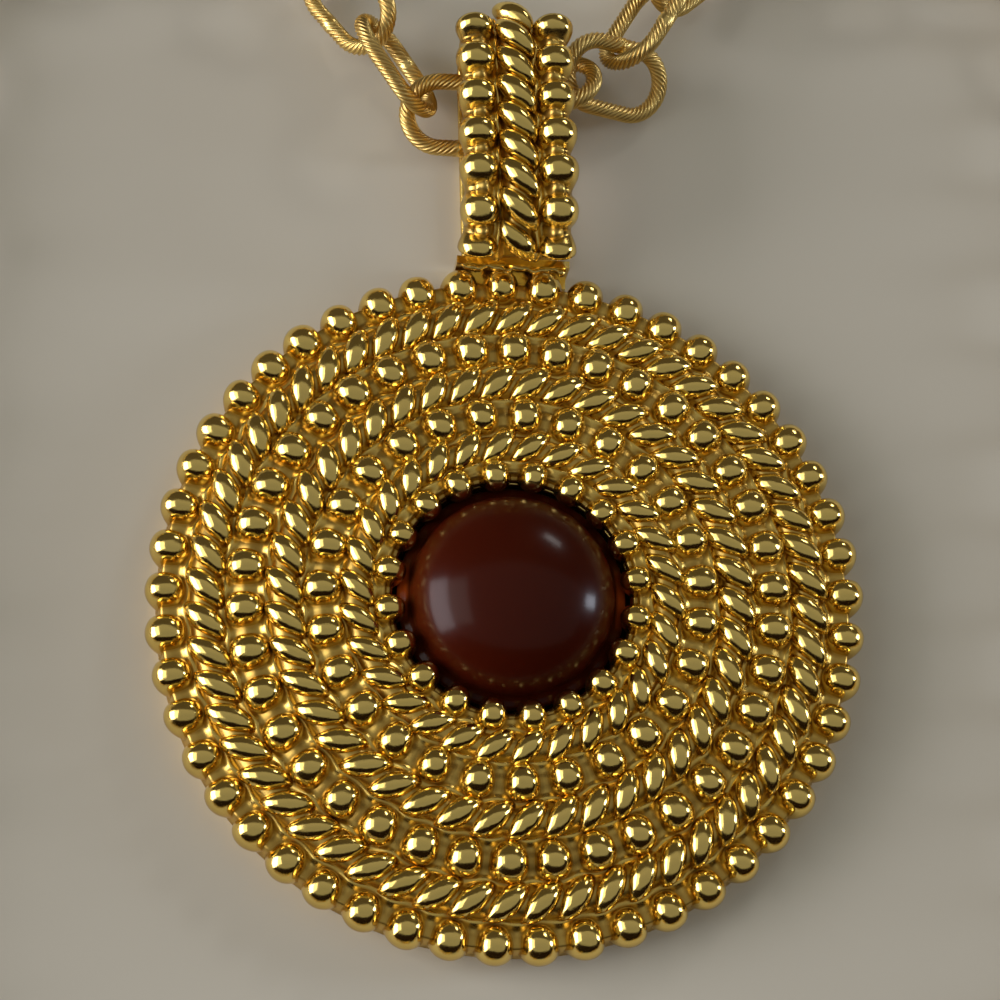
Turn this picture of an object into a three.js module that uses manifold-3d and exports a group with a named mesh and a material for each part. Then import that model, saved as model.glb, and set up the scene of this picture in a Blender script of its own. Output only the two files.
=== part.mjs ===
// Pendant necklace: a domed round medallion of beaded and roped courses round a cabochon,
// hung by a beaded strap bail on a cable chain of twisted-wire links with a lobster clasp.
// Millimetres. +Z is out of the medallion's front, +Y towards the bail, and the origin is the
// centre of the medallion's flat back. The necklace lies on its back with the chain round it.
import * as THREE from "three";
import Module from "manifold-3d";
import { mergeVertices } from "three/addons/utils/BufferGeometryUtils.js";

const wasm = await Module();
wasm.setup();

// ---- driving dimensions -------------------------------------------------------------------
const seatGap = 0.3; // clearance left between soldered pieces
const backPlate = { radius: 30.6, thick: 0.8, ventRadius: 0.9, ventOffset: 14 };
const rimCourseHeight = 2.7; // centre height of the outermost bead course
const domeFall = 0.0045; // the courses fall by this times the radius squared

// each course: centre radius and section radius
const courses = [
  { name: "bead_ring_outer", at: 29.9, section: 1.6, kind: "bead" },
  { name: "rope_ring_outer", at: 26.45, section: 1.45, kind: "rope" },
  { name: "bead_ring_middle", at: 23.1, section: 1.6, kind: "bead" },
  { name: "rope_ring_middle", at: 19.7, section: 1.4, kind: "rope" },
  { name: "bead_ring_inner", at: 16.5, section: 1.45, kind: "bead" },
  { name: "rope_ring_inner", at: 13.55, section: 1.2, kind: "rope" },
  { name: "bezel_bead_ring", at: 10.85, section: 1.2, kind: "bead" },
];
const domeShell = { outer: 27.6, inner: 11.55, thick: 1.0, flatFrom: 22.5 };
const stone = { girdle: 10, girdleBottom: 3.9, girdleTop: 4.65, domeRadius: 9, domeHeight: 6.2 };
const cup = { outer: 11.2, wall: 0.8, bottom: 2.6, floor: 0.9, lip: 4.25 };

const bail = {
  width: 9.6,
  strap: 0.8, // strap thickness
  footLean: 65, // degrees the strap rises at when it leaves the foot
  footBend: 5, // radius of the bend above the foot
  shoulderY: 37.9, // where the front of the strap turns level
  bendY: 50.9, // centre of the top bend
  frontZ: 7.2,
  backZ: 0.4,
  rowOffset: 3.55, // sideways place of the two bead rows
  rowSection: 1.5,
  ropeSection: 1.4,
  rowGap: 0.2,
  lean: 2.2, // degrees the loop leans to the left on its foot
};
const foot = { width: 10.3, inner: 30.95, face: 31.8, back: 32.5, height: 3.6, tongue: 0.75 };

// a link: wire diameter, half its centre-line length, and its end bend radius
const chainLink = { wire: 1.5, half: 5.0, bend: 3.05, sides: 6, bendSteps: 5 };
const runLink = { ...chainLink, sides: 5, bendSteps: 4 };
const jumpRing = { wire: 1.0, half: 2.6, bend: 2.6, sides: 6, bendSteps: 6 };
const linkGap = 0.4; // slack between two hooked wires
const groundGap = 0.45; // room under the links, which dip a little where the chain bends
const soldered = -0.1; // the same gap inside a stiff run, where the wires touch

const clasp = {
  thick: 2.4,
  eye: { outer: 2.1, hole: 1.2 },
  hook: { along: 7, across: 0.2, outer: 3.4, inner: 2.1 },
  nose: 9.1, // where the hook's nose begins along the clasp
  pivot: { along: 4.9, across: -2.0 },
  pin: 0.38,
  pinHole: 0.52,
  gateThick: 0.9,
  slot: 1.3,
};

// ---- helpers ------------------------------------------------------------------------------
const rad = THREE.MathUtils.degToRad;
const gold = { color: 0xc9992e, roughness: 0.18, metalness: 1 };
const paleGold = { color: 0xc8a556, roughness: 0.3, metalness: 1 };
const amber = { color: 0x4a1005, roughness: 0.08, metalness: 0 };
const steel = { color: 0xa8a8a8, roughness: 0.3, metalness: 1 };

function named(name, geometry, look) {
  const mesh = new THREE.Mesh(geometry, new THREE.MeshStandardMaterial(look));
  mesh.name = name;
  return mesh;
}

function solid(geometry) {
  const bare = geometry.index ? geometry.toNonIndexed() : geometry.clone();
  bare.deleteAttribute("normal");
  bare.deleteAttribute("uv");
  const merged = mergeVertices(bare, 1e-4);
  return new wasm.Manifold(
    new wasm.Mesh({
      numProp: 3,
      vertProperties: merged.attributes.position.array,
      triVerts: new Uint32Array(merged.index.array),
    }),
  );
}

function geometryOf(manifold) {
  const mesh = manifold.getMesh();
  const geometry = new THREE.BufferGeometry();
  geometry.setAttribute("position", new THREE.BufferAttribute(mesh.vertProperties, 3));
  geometry.setIndex(new THREE.BufferAttribute(mesh.triVerts, 1));
  return geometry;
}

// A solid of revolution about Z from closed profile points [radius, height], counter-clockwise.
function revolve(points, steps) {
  const profile = [...points, points[0]].map(([r, z]) => new THREE.Vector2(r, z));
  return new THREE.LatheGeometry(profile, steps).rotateX(Math.PI / 2);
}

function courseHeight(r) {
  return rimCourseHeight + domeFall * (courses[0].at ** 2 - r * r);
}

function circlePoints(radius, count) {
  return Array.from({ length: count }, (_, i) => {
    const a = (2 * Math.PI * i) / count;
    return [radius * Math.cos(a), radius * Math.sin(a)];
  });
}

function circleShape(radius, count) {
  return new THREE.Shape(circlePoints(radius, count).map(([x, y]) => new THREE.Vector2(x, y)));
}

// A closed tube of round section along a closed or open list of points.
function tube(points, section, sides, closed) {
  const path = new THREE.CatmullRomCurve3(points, closed, "centripetal");
  return new THREE.ExtrudeGeometry(circleShape(section, sides), {
    steps: closed ? points.length : points.length - 1,
    extrudePath: path,
    bevelEnabled: false,
  });
}

// ---- medallion ----------------------------------------------------------------------------
function makeBackPlate() {
  const { radius, thick, ventRadius, ventOffset } = backPlate;
  const outline = circleShape(radius, 48);
  const hole = circlePoints(ventRadius, 10).map(([x, y]) => new THREE.Vector2(x, y - ventOffset));
  outline.holes.push(new THREE.Path(hole));
  const plate = new THREE.ExtrudeGeometry(outline, { depth: thick, bevelEnabled: false });
  return named("back_plate", plate, gold);
}

// The dome's upper surface, which every course sits on.
function domeTop(r) {
  return courseHeight(r) - courses[0].section - seatGap;
}

function makeDome() {
  const { outer, inner, thick, flatFrom } = domeShell;
  const floor = backPlate.thick + seatGap;
  const top = [];
  for (let i = 0; i <= 6; i++) {
    const r = outer + ((inner - outer) * i) / 6;
    top.push([r, domeTop(r)]);
  }
  const under = [];
  for (let i = 0; i <= 3; i++) {
    const r = inner + ((flatFrom - inner) * i) / 3;
    under.push([r, Math.max(floor, domeTop(r) - thick)]);
  }
  return named("medallion_dome", revolve([[outer, floor], ...top, ...under], 40), gold);
}

function makeCourse({ name, at, section, kind }) {
  const height = domeTop(at) + seatGap + section;
  const ring = new THREE.TorusGeometry(at, section, 8, 36);
  ring.translate(0, 0, height);
  return named(name, ring, kind === "bead" ? gold : { ...gold, roughness: 0.22 });
}

function makeCup() {
  const { outer, wall, bottom, floor, lip } = cup;
  const inner = outer - wall;
  const profile = [
    [0, bottom],
    [outer, bottom],
    [outer, lip],
    [inner, lip],
    [inner, bottom + floor],
    [0, bottom + floor],
  ];
  return named("bezel_cup", revolve(profile, 32), gold);
}

function makeCabochon() {
  const { girdle, girdleBottom, girdleTop, domeRadius, domeHeight } = stone;
  const profile = [
    [0, girdleBottom],
    [girdle, girdleBottom],
    [girdle, girdleTop],
  ];
  for (let i = 0; i <= 6; i++) {
    const a = (Math.PI / 2) * (i / 6);
    profile.push([domeRadius * Math.cos(a), girdleTop + domeHeight * Math.sin(a)]);
  }
  profile[profile.length - 1][0] = 0;
  return named("cabochon", revolve(profile, 32), amber);
}

// ---- bail ---------------------------------------------------------------------------------
// The strap's path in the YZ plane, moved outwards by an offset from its middle surface.
function bailPath(offset, from, to, steps) {
  const { footLean, footBend, shoulderY, bendY, frontZ, backZ } = bail;
  const topBend = (frontZ - backZ) / 2;
  const lean = rad(footLean);
  const lengths = [footBend * lean, bendY - shoulderY, topBend * Math.PI, bendY - shoulderY + 4.5];
  const total = lengths.reduce((a, b) => a + b);
  const points = [];
  for (let i = 0; i <= steps; i++) {
    let s = (from + ((to - from) * i) / steps) * total;
    if (s <= lengths[0]) {
      const a = lean - s / footBend;
      const r = footBend + offset;
      points.push([shoulderY - r * Math.sin(a), frontZ - footBend + r * Math.cos(a)]);
      continue;
    }
    s -= lengths[0];
    if (s <= lengths[1]) {
      points.push([shoulderY + s, frontZ + offset]);
      continue;
    }
    s -= lengths[1];
    if (s <= lengths[2]) {
      const a = s / topBend;
      const r = topBend + offset;
      points.push([bendY + r * Math.sin(a), (frontZ + backZ) / 2 + r * Math.cos(a)]);
      continue;
    }
    points.push([bendY - (s - lengths[2]), backZ - offset]);
  }
  return points;
}

function makeBail() {
  const loop = new THREE.Group();
  const half = bail.strap / 2;
  const outer = bailPath(half, 0, 1, 40);
  const inner = bailPath(-half, 0, 1, 40).reverse();
  const outline = new THREE.Shape([...outer, ...inner].map(([y, z]) => new THREE.Vector2(y, z)));
  const strap = new THREE.ExtrudeGeometry(outline, { depth: bail.width, bevelEnabled: false });
  // the outline is drawn in Y and Z, so the extrusion is turned to run along X
  strap.translate(0, 0, -bail.width / 2);
  strap.rotateY(Math.PI / 2).rotateX(Math.PI / 2);
  loop.add(named("bail_strap", strap, gold));
  const rows = [
    ["bail_bead_row_left", -bail.rowOffset, bail.rowSection],
    ["bail_rope", 0, bail.ropeSection],
    ["bail_bead_row_right", bail.rowOffset, bail.rowSection],
  ];
  for (const [name, x, section] of rows) {
    const line = bailPath(half + bail.rowGap + section, 0.02, 0.47, 14);
    const points = line.map(([y, z]) => new THREE.Vector3(x, y, z));
    loop.add(named(name, tube(points, section, 8, false), gold));
  }
  // the loop leans a little on its foot
  loop.position.set(0, foot.back, 0);
  loop.rotation.z = rad(bail.lean);
  for (const piece of loop.children) piece.geometry.translate(0, -foot.back, 0);
  return loop;
}

function makeFoot() {
  const { width, inner, face, back, height, tongue } = foot;
  const corners = [
    [inner, 0],
    [back, 0],
    [back, height],
    [face, height],
    [face, tongue],
    [inner, tongue],
  ];
  const outline = new THREE.Shape(corners.map(([y, z]) => new THREE.Vector2(y, z)));
  const bar = new THREE.ExtrudeGeometry(outline, { depth: width, bevelEnabled: false });
  bar.translate(0, 0, -width / 2);
  bar.rotateY(Math.PI / 2).rotateX(Math.PI / 2);
  return named("bail_foot", bar, gold);
}

// ---- chain --------------------------------------------------------------------------------
// A link's frame: its centre, its long direction, and its width direction.
function headingVector(heading, tilt) {
  const h = rad(heading);
  const t = rad(tilt);
  return new THREE.Vector3(Math.cos(h) * Math.cos(t), Math.sin(h) * Math.cos(t), Math.sin(t));
}

function widthVector(along, roll) {
  const level = new THREE.Vector3(0, 0, 1).cross(along).normalize();
  return level.applyAxisAngle(along, rad(roll));
}

// The next link, hooked on the previous one's far end and pointing along its own heading. The
// catch angle says where on the previous end bend it hangs, and back slides it down the side.
function hook(previous, size, place) {
  const { heading, roll, gap = linkGap, tilt = 0, catchAngle = null, back = 0 } = place;
  const along = headingVector(heading, tilt);
  const across = widthVector(along, roll);
  const angle = catchAngle === null
    ? Math.atan2(along.dot(previous.across), along.dot(previous.along))
    : rad(catchAngle);
  const { half, bend, wire } = previous.size;
  const pivot = previous.centre.clone()
    .addScaledVector(previous.along, half - bend - back + bend * Math.cos(angle))
    .addScaledVector(previous.across, bend * Math.sin(angle));
  const axis = previous.across.clone().multiplyScalar(Math.cos(angle))
    .addScaledVector(previous.along, -Math.sin(angle));
  const reach = size.half - (wire + size.wire) / 2 - gap;
  const centre = pivot.clone().addScaledVector(along, reach);
  return { size, centre, along, across, pivot, axis };
}

// How high a link's centre lies when it rests on one edge at this roll.
function restHeight(size, roll) {
  return size.bend * Math.abs(Math.sin(rad(roll))) + size.wire / 2 + groundGap;
}

// A link hooked on and lying along the ground: its far end comes down to its resting height.
function lay(previous, size, heading, roll, gap = linkGap) {
  const level = hook(previous, size, { heading, roll, gap });
  const drop = restHeight(size, roll) - level.pivot.z;
  const reach = 2 * size.half - (previous.size.wire + size.wire) / 2 - gap;
  const tilt = THREE.MathUtils.radToDeg(Math.asin(drop / reach));
  return hook(previous, size, { heading, roll, gap, tilt });
}

// The link's centre-line: two round end bends joined by straight sides.
function linkPoints({ size, centre, along, across }) {
  const points = [];
  for (const end of [1, -1]) {
    for (let i = 0; i <= size.bendSteps; i++) {
      const a = Math.PI * (i / size.bendSteps - 0.5);
      const x = end * (size.half - size.bend + size.bend * Math.cos(a));
      const y = end * size.bend * Math.sin(a);
      points.push(centre.clone().addScaledVector(along, x).addScaledVector(across, y));
    }
  }
  if (size.half > size.bend) return points;
  // a round ring has no straight sides, so the two bends share their end points
  return points.filter((_, i) => i % (size.bendSteps + 1) !== 0);
}

// The wire's section carried round the closed centre-line without twisting.
function linkGeometry(link) {
  const points = linkPoints(link);
  const normal = link.along.clone().cross(link.across);
  const count = points.length;
  const section = circlePoints(link.size.wire / 2, link.size.sides);
  const positions = [];
  const ringAt = (i) => {
    const here = points[i % count];
    const before = points[(i + count - 1) % count];
    const after = points[(i + 1) % count];
    const out = normal.clone().cross(after.clone().sub(before).normalize());
    return section.map(([a, b]) =>
      here.clone().addScaledVector(out, a).addScaledVector(normal, b));
  };
  for (let i = 0; i < count; i++) {
    const near = ringAt(i);
    const far = ringAt(i + 1);
    for (let k = 0; k < section.length; k++) {
      const m = (k + 1) % section.length;
      const corners = [near[k], near[m], far[m], near[k], far[m], far[k]];
      for (const p of corners) positions.push(p.x, p.y, p.z);
    }
  }
  const geometry = new THREE.BufferGeometry();
  geometry.setAttribute("position", new THREE.Float32BufferAttribute(positions, 3));
  return geometry;
}

// The link inside the bail, seen from its left end and from its right end.
const bailLinkRoll = rad(20);
const bailLink = {
  size: chainLink,
  centre: new THREE.Vector3(-4.95, 46.8, 3.05),
  along: new THREE.Vector3(-1, 0, 0),
  across: new THREE.Vector3(0, -Math.cos(bailLinkRoll), -Math.sin(bailLinkRoll)),
};
const bailLinkRight = {
  ...bailLink,
  along: bailLink.along.clone().negate(),
  across: bailLink.across.clone().negate(),
};

// The links that leave the bail, placed one by one, before the chain settles on its edges.
const leftStart = [{ heading: 126, roll: 55, tilt: 7, catchAngle: -37 }];
const rightStart = [
  { heading: 24, roll: -32, tilt: 8.5 },
  { heading: 2, roll: 25, tilt: -24, gap: 1.1 },
  { heading: 60, roll: -50, tilt: 2, catchAngle: 90, back: 1.2 },
];
// the headings of the links that lie on the ground: out past the medallion, round and under it
const straight = (heading, count) => Array(count).fill(heading);
const leftHeadings = [
  128, 145, 162, 180, 203, 226, 249, ...straight(270, 11), 293, 316, 339, ...straight(360, 3),
];
const rightHeadings = [
  46, 23, 0, 0, -23, -46, -69, ...straight(-90, 12), -113, -136, -159, ...straight(-180, 2),
];
const leftSingles = 11; // links of each branch that move one by one; the rest are stiff runs
const rightSingles = 12;
const runLength = 5;

// One branch of the chain as a list of pieces, each a list of the links that it holds.
function branch(start, placed, headings, firstRoll, singles) {
  const pieces = [];
  let last = start;
  for (const place of placed) {
    last = hook(last, chainLink, place);
    pieces.push([last]);
  }
  let roll = firstRoll;
  headings.forEach((heading, i) => {
    const number = placed.length + i - singles;
    const inRun = number >= 0;
    const opensRun = number % runLength === 0;
    const gap = inRun && !opensRun ? soldered : linkGap;
    last = lay(last, inRun ? runLink : chainLink, heading, roll, gap);
    if (inRun && !opensRun) pieces[pieces.length - 1].push(last);
    else pieces.push([last]);
    roll = -roll;
  });
  return pieces;
}

// A chain piece remembers where it turns on the piece before it.
function chainPiece(name, links) {
  const joined = links.map((link) => solid(linkGeometry(link))).reduce((a, b) => a.add(b));
  const piece = named(name, geometryOf(joined), paleGold);
  piece.userData.turnsAt = links[0].pivot;
  piece.userData.turnsAbout = links[0].axis;
  return piece;
}

// ---- clasp --------------------------------------------------------------------------------
// Pieces of the clasp are drawn flat, along X and across Y, then carried to its place.
function plate(points, thick, holes = []) {
  const outline = new THREE.Shape(points.map(([x, y]) => new THREE.Vector2(x, y)));
  for (const hole of holes) {
    outline.holes.push(new THREE.Path(hole.map(([x, y]) => new THREE.Vector2(x, y))));
  }
  const geometry = new THREE.ExtrudeGeometry(outline, { depth: thick, bevelEnabled: false });
  return geometry.translate(0, 0, -thick / 2);
}

function disc(x, y, radius, thick, count) {
  return plate(circlePoints(radius, count).map(([a, b]) => [a + x, b + y]), thick);
}

function claspBody() {
  const { thick, eye, hook: bow, nose, pivot, pinHole, slot } = clasp;
  const shoulder = [[0.4, -1.1], [3.2, -3.0], [5.6, -3.0], [5.6, 2.9], [3.0, 2.4], [0.4, 1.1]];
  const gateMouth = [[5.6, -4], [nose, -4], [nose, -0.9], [5.6, -0.9]];
  const slotCut = [[3.55, -4], [6, -4], [6, -0.55], [3.55, -0.55]];
  const cut = thick + 1;
  const made = solid(disc(0, 0, eye.outer, thick, 16))
    .add(solid(plate(shoulder, thick)))
    .add(solid(disc(bow.along, bow.across, bow.outer, thick, 20)))
    .subtract(solid(disc(bow.along, bow.across, bow.inner, cut, 16)))
    .subtract(solid(plate(gateMouth, cut)))
    .subtract(solid(plate(slotCut, slot)))
    .subtract(solid(disc(0, 0, eye.hole, cut, 12)))
    .subtract(solid(disc(pivot.along, pivot.across, pinHole, cut, 10)));
  return geometryOf(made);
}

function claspGate() {
  const { gateThick, pivot, pinHole } = clasp;
  const outline = [
    [4.2, -2.6], [5.5, -2.75], [5.8, -3.9], [6.6, -3.9], [6.9, -2.3], [8.6, -1.9], [8.6, -1.2], [4.4, -1.3],
  ];
  const hole = circlePoints(pinHole, 10).map(([x, y]) => [x + pivot.along, y + pivot.across]);
  return plate(outline, gateThick, [hole]);
}

function claspPieces() {
  const { pivot, pin, thick } = clasp;
  return [
    ["clasp_body", claspBody(), paleGold],
    ["clasp_trigger", claspGate(), paleGold],
    ["clasp_pin", disc(pivot.along, pivot.across, pin, thick, 10), steel],
    ["clasp_spring", disc(3.98, -0.98, 0.3, 1.1, 8), steel],
  ];
}

// ---- the necklace -------------------------------------------------------------------------
const necklace = new THREE.Group();
necklace.name = "pendant_necklace";
necklace.add(makeBackPlate(), makeDome(), makeCup(), makeCabochon());
for (const course of courses) necklace.add(makeCourse(course));
necklace.add(makeFoot(), makeBail());

const left = branch(bailLink, leftStart, leftHeadings, -45, leftSingles);
const right = branch(bailLinkRight, rightStart, rightHeadings, 45, rightSingles);
const pieceName = (side, i) => `chain_${side}_${String(i + 1).padStart(2, "0")}`;
necklace.add(chainPiece("chain_bail_link", [bailLink]));
left.forEach((links, i) => necklace.add(chainPiece(pieceName("left", i), links)));
right.forEach((links, i) => necklace.add(chainPiece(pieceName("right", i), links)));

const leftEnd = left.at(-1).at(-1);
const rightEnd = right.at(-1).at(-1);
const claspRing = lay(leftEnd, jumpRing, 0, -45);
const endRing = lay(rightEnd, jumpRing, -180, 45);
necklace.add(chainPiece("clasp_ring", [claspRing]), chainPiece("chain_end_ring", [endRing]));

// the clasp's eye hangs on its ring, and the clasp lies on one edge with its hook inwards
const claspSize = { wire: 0, half: 5.2, bend: 3.4 };
const claspPlace = hook(claspRing, claspSize, { heading: 0, roll: 45, gap: 0, tilt: 6 });
const claspMatrix = new THREE.Matrix4()
  .makeBasis(claspPlace.along, claspPlace.across, claspPlace.along.clone().cross(claspPlace.across))
  .setPosition(claspPlace.pivot);
for (const [name, geometry, look] of claspPieces()) {
  const piece = named(name, geometry.applyMatrix4(claspMatrix), look);
  piece.userData.turnsAt = claspPlace.pivot;
  piece.userData.turnsAbout = claspPlace.axis;
  if (name === "clasp_trigger") {
    const { along, across } = clasp.pivot;
    piece.userData.turnsAt = new THREE.Vector3(along, across, 0).applyMatrix4(claspMatrix);
    piece.userData.turnsAbout = claspPlace.along.clone().cross(claspPlace.across);
  }
  necklace.add(piece);
}

export default necklace;
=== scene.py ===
import math

import bmesh
import bpy
import numpy as np
from mathutils import Matrix, Vector


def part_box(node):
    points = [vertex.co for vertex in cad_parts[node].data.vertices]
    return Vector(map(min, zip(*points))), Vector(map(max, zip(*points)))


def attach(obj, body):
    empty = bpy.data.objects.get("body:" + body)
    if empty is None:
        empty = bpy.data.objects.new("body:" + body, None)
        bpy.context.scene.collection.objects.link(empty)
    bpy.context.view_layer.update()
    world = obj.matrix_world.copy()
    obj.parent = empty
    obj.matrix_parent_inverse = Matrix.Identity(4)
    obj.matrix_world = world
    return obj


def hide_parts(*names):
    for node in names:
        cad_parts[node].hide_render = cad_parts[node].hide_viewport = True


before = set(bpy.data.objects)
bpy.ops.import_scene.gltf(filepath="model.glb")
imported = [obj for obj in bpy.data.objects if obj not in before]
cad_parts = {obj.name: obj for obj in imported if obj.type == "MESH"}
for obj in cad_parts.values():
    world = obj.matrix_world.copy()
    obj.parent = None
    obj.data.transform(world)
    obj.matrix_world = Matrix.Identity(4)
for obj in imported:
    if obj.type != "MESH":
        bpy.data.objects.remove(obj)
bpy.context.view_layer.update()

scene = bpy.context.scene
MM = 0.001

# ---- camera ---------------------------------------------------------------------------------
# It looks down on the medallion from a little to its lower left, from a forearm's length away.
camera = bpy.data.objects.new("camera", bpy.data.cameras.new("camera"))
camera.data.lens = 99.5
camera.data.sensor_width = 36
camera.data.clip_start = 0.01
CAMERA_PLACE, CAMERA_LOOK = (-26.63, -68.87, 232.93), (0.1052, 0.3207, -0.9413)
CAMERA_ROLL = 0.0104
look = Vector(CAMERA_LOOK).normalized()
level = look.cross(Vector((0, 1, 0))).normalized()
roll = Matrix.Rotation(CAMERA_ROLL, 3, -look)
turn = Matrix((roll @ level, roll @ level.cross(look), -look)).transposed().to_4x4()
camera.matrix_world = Matrix.Translation(Vector(CAMERA_PLACE) * MM) @ turn
scene.collection.objects.link(camera)
scene.camera = camera

# ---- floor and light ------------------------------------------------------------------------
# A plain pale board, and a studio with a wide dim panel overhead, a low and a high softbox on
# the left, a small cool one on the right and a strip behind. The side towards the viewer stays
# dark, so polished metal has something dark to mirror.
FLOOR_TONE, FLOOR_HALF, FLOOR_DROP = (0.66, 0.62, 0.52, 1), 3, 0.0001
floor_mesh = bpy.data.meshes.new("floor")
corners = ((-1, -1), (1, -1), (1, 1), (-1, 1))
floor_mesh.from_pydata(
    [(x * FLOOR_HALF, y * FLOOR_HALF, -FLOOR_DROP) for x, y in corners], [], [(0, 1, 2, 3)])
floor = bpy.data.objects.new("floor", floor_mesh)
scene.collection.objects.link(floor)
floor_paint = bpy.data.materials.new("pale_board")
floor_paint.use_nodes = True
board = floor_paint.node_tree.nodes["Principled BSDF"]
board.inputs["Base Color"].default_value = FLOOR_TONE
board.inputs["Roughness"].default_value = 0.75
floor_mesh.materials.append(floor_paint)


def soft_light(name, azimuth, height, width, tall, power, tone):
    """A softbox that faces the medallion, from these degrees round it and above the floor."""
    lamp = bpy.data.lights.new(name, "AREA")
    lamp.shape = "RECTANGLE"
    lamp.size = width
    lamp.size_y = tall
    lamp.energy = power
    lamp.color = tone
    a, h = math.radians(azimuth), math.radians(height)
    way = Vector((math.cos(a) * math.cos(h), math.sin(a) * math.cos(h), math.sin(h)))
    box = bpy.data.objects.new(name, lamp)
    facing = way.to_track_quat("Z", "Y").to_matrix().to_4x4()
    box.matrix_world = Matrix.Translation(way * SOFTBOX_DISTANCE) @ facing
    box.visible_camera = False
    scene.collection.objects.link(box)
    return box


SOFTBOX_DISTANCE, PANEL_PLACE = 1.3, (0.2, -0.3, 1.2)
# name, azimuth, height, width, tall, power, colour
soft_light("window_left", 183, 18, 1.0, 0.66, 14, (0.97, 0.94, 0.98))
soft_light("window_left_upper", 183, 44, 0.9, 0.5, 2.2, (0.97, 0.96, 0.9))
soft_light("window_right", 6, 15, 0.2, 0.34, 3.6, (0.88, 0.96, 1.1))
soft_light("strip_behind", 58, 27, 0.26, 0.14, 1.1, (1.0, 0.98, 0.95))
panel = soft_light("panel_overhead", 0, 90, 4.6, 1.9, 7.2, (0.94, 0.95, 0.9))
panel.matrix_world = Matrix.Translation(PANEL_PLACE)

ROOM_DARK = (0.012, 0.007, 0.004, 1)
ROOM_WALL = (0.075, 0.062, 0.045, 1)
BACKDROP = (0.50, 0.46, 0.42, 1)
world = bpy.data.worlds.new("room")
scene.world = world
world.use_nodes = True
room = world.node_tree
room.nodes.clear()
way = room.nodes.new("ShaderNodeTexCoord")
split = room.nodes.new("ShaderNodeSeparateXYZ")
rise = room.nodes.new("ShaderNodeMapRange")
rise.inputs["From Min"].default_value = -0.25
rise.inputs["From Max"].default_value = 0.45
tones = room.nodes.new("ShaderNodeMix")
tones.data_type = "RGBA"
tones.inputs["A"].default_value = ROOM_DARK
tones.inputs["B"].default_value = ROOM_WALL
seen = room.nodes.new("ShaderNodeLightPath")
shown = room.nodes.new("ShaderNodeMix")
shown.data_type = "RGBA"
shown.inputs["B"].default_value = BACKDROP
glow = room.nodes.new("ShaderNodeBackground")
out = room.nodes.new("ShaderNodeOutputWorld")
room.links.new(way.outputs["Generated"], split.inputs[0])
room.links.new(split.outputs["Y"], rise.inputs["Value"])
room.links.new(rise.outputs["Result"], tones.inputs["Factor"])
room.links.new(seen.outputs["Is Camera Ray"], shown.inputs["Factor"])
room.links.new(tones.outputs["Result"], shown.inputs["A"])
room.links.new(shown.outputs["Result"], glow.inputs["Color"])
room.links.new(glow.outputs[0], out.inputs["Surface"])
scene.view_settings.view_transform = "Standard"

# ---- back plate -----------------------------------------------------------------------------
# A flat disc of gold-plated brass that closes the back of the medallion, with a small vent for
# the plating bath. It is soldered on all round, filed flush and finished with a fine brush.


def patina_and_shade():
    """Gold that is deeper and redder where the polishing wheel can't reach, and in painted shade
    under and between parts.
    """
    group = bpy.data.node_groups.new("patina_and_shade", "ShaderNodeTree")
    face = group.interface
    colours, values = ("Metal", "Deep Tone"), ("Depth And Shade", "Amount")
    for name, kind in [(c, "Color") for c in colours] + [(v, "Float") for v in values]:
        face.new_socket(name, in_out="INPUT", socket_type="NodeSocket" + kind)
    for name, kind in (("Color", "Color"), ("Mask", "Float")):
        face.new_socket(name, in_out="OUTPUT", socket_type="NodeSocket" + kind)
    n, link = group.nodes, group.links.new
    given, made = n.new("NodeGroupInput"), n.new("NodeGroupOutput")
    place = n.new("ShaderNodeTexCoord")
    blotch = n.new("ShaderNodeTexNoise")
    blotch.inputs["Scale"].default_value = 420
    blotch.inputs["Detail"].default_value = 3
    uneven = n.new("ShaderNodeMapRange")
    uneven.inputs["To Min"].default_value = 0.35
    uneven.inputs["To Max"].default_value = 1.5
    held = n.new("ShaderNodeMath")
    held.operation = "MULTIPLY"
    amount = n.new("ShaderNodeMath")
    amount.operation = "MULTIPLY"
    amount.use_clamp = True
    patina_and_shade_mix = n.new("ShaderNodeMix")
    patina_and_shade_mix.data_type = "RGBA"
    link(place.outputs["Object"], blotch.inputs["Vector"])
    link(blotch.outputs[0], uneven.inputs["Value"])
    link(given.outputs["Depth And Shade"], held.inputs[0])
    link(uneven.outputs["Result"], held.inputs[1])
    link(held.outputs[0], amount.inputs[0])
    link(given.outputs["Amount"], amount.inputs[1])
    link(amount.outputs[0], patina_and_shade_mix.inputs["Factor"])
    link(given.outputs["Metal"], patina_and_shade_mix.inputs["A"])
    link(given.outputs["Deep Tone"], patina_and_shade_mix.inputs["B"])
    link(patina_and_shade_mix.outputs["Result"], made.inputs["Color"])
    link(amount.outputs[0], made.inputs["Mask"])
    return group


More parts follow.
